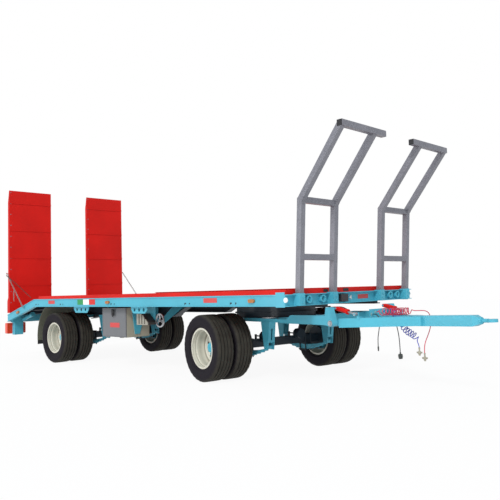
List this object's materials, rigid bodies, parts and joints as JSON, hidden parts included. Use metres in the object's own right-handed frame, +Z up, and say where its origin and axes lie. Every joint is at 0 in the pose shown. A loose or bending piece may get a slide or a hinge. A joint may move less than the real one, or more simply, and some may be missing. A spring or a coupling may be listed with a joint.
{
  "type": "platform trailer",
  "caption": "Flat platform trailer with a sloping tail, standing loading ramps, front bale frames and a steered drawbar bogie on twin wheels.",
  "frame": {"origin": "on the ground under the middle of the trailer's box, from the rear lamps to the towing eye", "axes": "+X forward, along the platform towards the drawbar; +Y to the trailer's left; +Z up"},
  "size_m": [9.7152, 2.614, 3.263],
  "materials": {
    "box_cream": "satin",
    "box_grey": "satin",
    "cable_black": "satin",
    "chain_steel": "satin",
    "coupling_grey": "matt",
    "dark_frame": "satin",
    "deck_red": "satin",
    "flap_black": "matt",
    "frame_blue": "satin",
    "galvanised": "satin",
    "guard_grey": "matt",
    "hose_blue": "satin",
    "hose_red": "satin",
    "hub_blue": "satin",
    "lamp_amber": "gloss",
    "lamp_red": "gloss",
    "rim_cream": "satin",
    "tank_black": "satin",
    "tyre": "matt"
  },
  "bodies": {
    "chassis": {"air_tank": "tank_black", "bale_frame_left": "galvanised", "bale_frame_right": "galvanised", "brake_wheel": "dark_frame", "cross_members": "dark_frame", "deck_floor": "deck_red", "frame_sockets": "frame_blue", "front_beam": "frame_blue", "kerbs": "deck_red", "main_beams": "dark_frame", "mud_flaps": "flap_black", "mudguards": "guard_grey", "outriggers": "frame_blue", "ramp_ears": "frame_blue", "rear_axle": "dark_frame", "rear_beam": "frame_blue", "rear_hangers": "frame_blue", "rear_lamps": "lamp_red", "rear_springs": "dark_frame", "side_markers": "lamp_amber", "side_rails": "frame_blue", "spring_canisters": "frame_blue", "tool_box": "box_grey", "turntable_upper": "dark_frame", "wheel_chock": "flap_black"},
    "bogie": {"turntable_lower": "dark_frame", "bogie_frame": "frame_blue", "front_axle": "dark_frame", "front_springs": "dark_frame", "front_hangers": "frame_blue"},
    "drawbar": {"drawbar": "frame_blue", "hose_bracket": "frame_blue", "red_air_hose": "hose_red", "blue_air_hose": "hose_blue", "black_cable": "cable_black", "line_couplings": "coupling_grey", "lamp_cable": "cable_black", "red_hose_tail": "hose_red"},
    "strut_barrel_right": {"strut_barrel_right": "deck_red"},
    "strut_rod_right": {"strut_rod_right": "chain_steel"},
    "strut_barrel_left": {"strut_barrel_left": "deck_red"},
    "strut_rod_left": {"strut_rod_left": "chain_steel"},
    "wheel_front_right": {"tyres_front_right": "tyre", "rims_front_right": "rim_cream", "hub_front_right": "hub_blue"},
    "wheel_front_left": {"tyres_front_left": "tyre", "rims_front_left": "rim_cream", "hub_front_left": "hub_blue"},
    "wheel_rear_right": {"tyres_rear_right": "tyre", "rims_rear_right": "rim_cream", "hub_rear_right": "hub_blue"},
    "wheel_rear_left": {"tyres_rear_left": "tyre", "rims_rear_left": "rim_cream", "hub_rear_left": "hub_blue"},
    "ramp_right": {"ramp_right": "deck_red"},
    "ramp_chain_right": {"ramp_chain_right": "chain_steel"},
    "ramp_left": {"ramp_left": "deck_red"},
    "ramp_chain_left": {"ramp_chain_left": "chain_steel"},
    "tool_box_door": {"tool_box_door": "box_cream"}
  },
  "joints": [
    {"name": "bogie_steer", "type": "hinge", "parent": "chassis", "child": "bogie", "pos_m": [1.36257, 0, 0.862], "axis": [0, 0, 1], "range_deg": [-82, 98]},
    {"name": "drawbar_pitch", "type": "hinge", "parent": "bogie", "child": "drawbar", "pos_m": [3.0787, -0.24119, 0.76], "axis": [0.1392, 0.9903, 0], "range_deg": [-15, 15]},
    {"name": "strut_turn_right", "type": "hinge", "parent": "bogie", "child": "strut_barrel_right", "pos_m": [2.97976, -0.63626, 0.925], "axis": [0.1392, 0.9903, 0], "range_deg": [-13, 13]},
    {"name": "strut_slide_right", "type": "slide", "parent": "strut_barrel_right", "child": "strut_rod_right", "axis": [0.969, -0.1362, -0.2063], "range_m": [-0.0418, 0.0418]},
    {"name": "strut_turn_left", "type": "hinge", "parent": "bogie", "child": "strut_barrel_left", "pos_m": [3.09249, 0.16586, 0.925], "axis": [0.1392, 0.9903, 0], "range_deg": [-13, 13]},
    {"name": "strut_slide_left", "type": "slide", "parent": "strut_barrel_left", "child": "strut_rod_left", "axis": [0.969, -0.1362, -0.2063], "range_m": [-0.0418, 0.0418]},
    {"name": "wheel_front_right_spin", "type": "hinge", "parent": "bogie", "child": "wheel_front_right", "pos_m": [1.22479, -0.98037, 0.433], "axis": [0.1392, 0.9903, 0], "continuous": true},
    {"name": "wheel_front_left_spin", "type": "hinge", "parent": "bogie", "child": "wheel_front_left", "pos_m": [1.50035, 0.98037, 0.433], "axis": [0.1392, 0.9903, 0], "continuous": true},
    {"name": "wheel_rear_right_spin", "type": "hinge", "parent": "chassis", "child": "wheel_rear_right", "pos_m": [-2.86043, -0.99, 0.433], "axis": [0, 1, 0], "continuous": true},
    {"name": "wheel_rear_left_spin", "type": "hinge", "parent": "chassis", "child": "wheel_rear_left", "pos_m": [-2.86043, 0.99, 0.433], "axis": [0, 1, 0], "continuous": true},
    {"name": "ramp_right_fold", "type": "hinge", "parent": "chassis", "child": "ramp_right", "pos_m": [-4.77943, -0.8285, 0.795], "axis": [0, -1, 0], "range_deg": [0, 110]},
    {"name": "ramp_chain_right_swing", "type": "hinge", "parent": "chassis", "child": "ramp_chain_right", "pos_m": [-3.99743, -1.293, 0.96575], "axis": [0, -1, 0], "range_deg": [0, 54]},
    {"name": "ramp_left_fold", "type": "hinge", "parent": "chassis", "child": "ramp_left", "pos_m": [-4.77943, 0.8285, 0.795], "axis": [0, -1, 0], "range_deg": [0, 110]},
    {"name": "ramp_chain_left_swing", "type": "hinge", "parent": "chassis", "child": "ramp_chain_left", "pos_m": [-3.99743, 1.293, 0.96575], "axis": [0, -1, 0], "range_deg": [0, 54]},
    {"name": "tool_box_door_drop", "type": "hinge", "parent": "chassis", "child": "tool_box_door", "pos_m": [-1.03743, -1.16, 0.5], "axis": [1, 0, 0], "range_deg": [0, 95]}
  ],
  "couplings": [
    {"joint": "strut_turn_right", "follows": "drawbar_pitch", "ratio": 0.7532},
    {"joint": "strut_slide_right", "follows": "drawbar_pitch", "m_per_rad": 0.15209},
    {"joint": "strut_turn_left", "follows": "drawbar_pitch", "ratio": 0.7532},
    {"joint": "strut_slide_left", "follows": "drawbar_pitch", "m_per_rad": 0.15209},
    {"joint": "ramp_chain_right_swing", "follows": "ramp_right_fold", "ratio": 0.49},
    {"joint": "ramp_chain_left_swing", "follows": "ramp_left_fold", "ratio": 0.49}
  ]
}
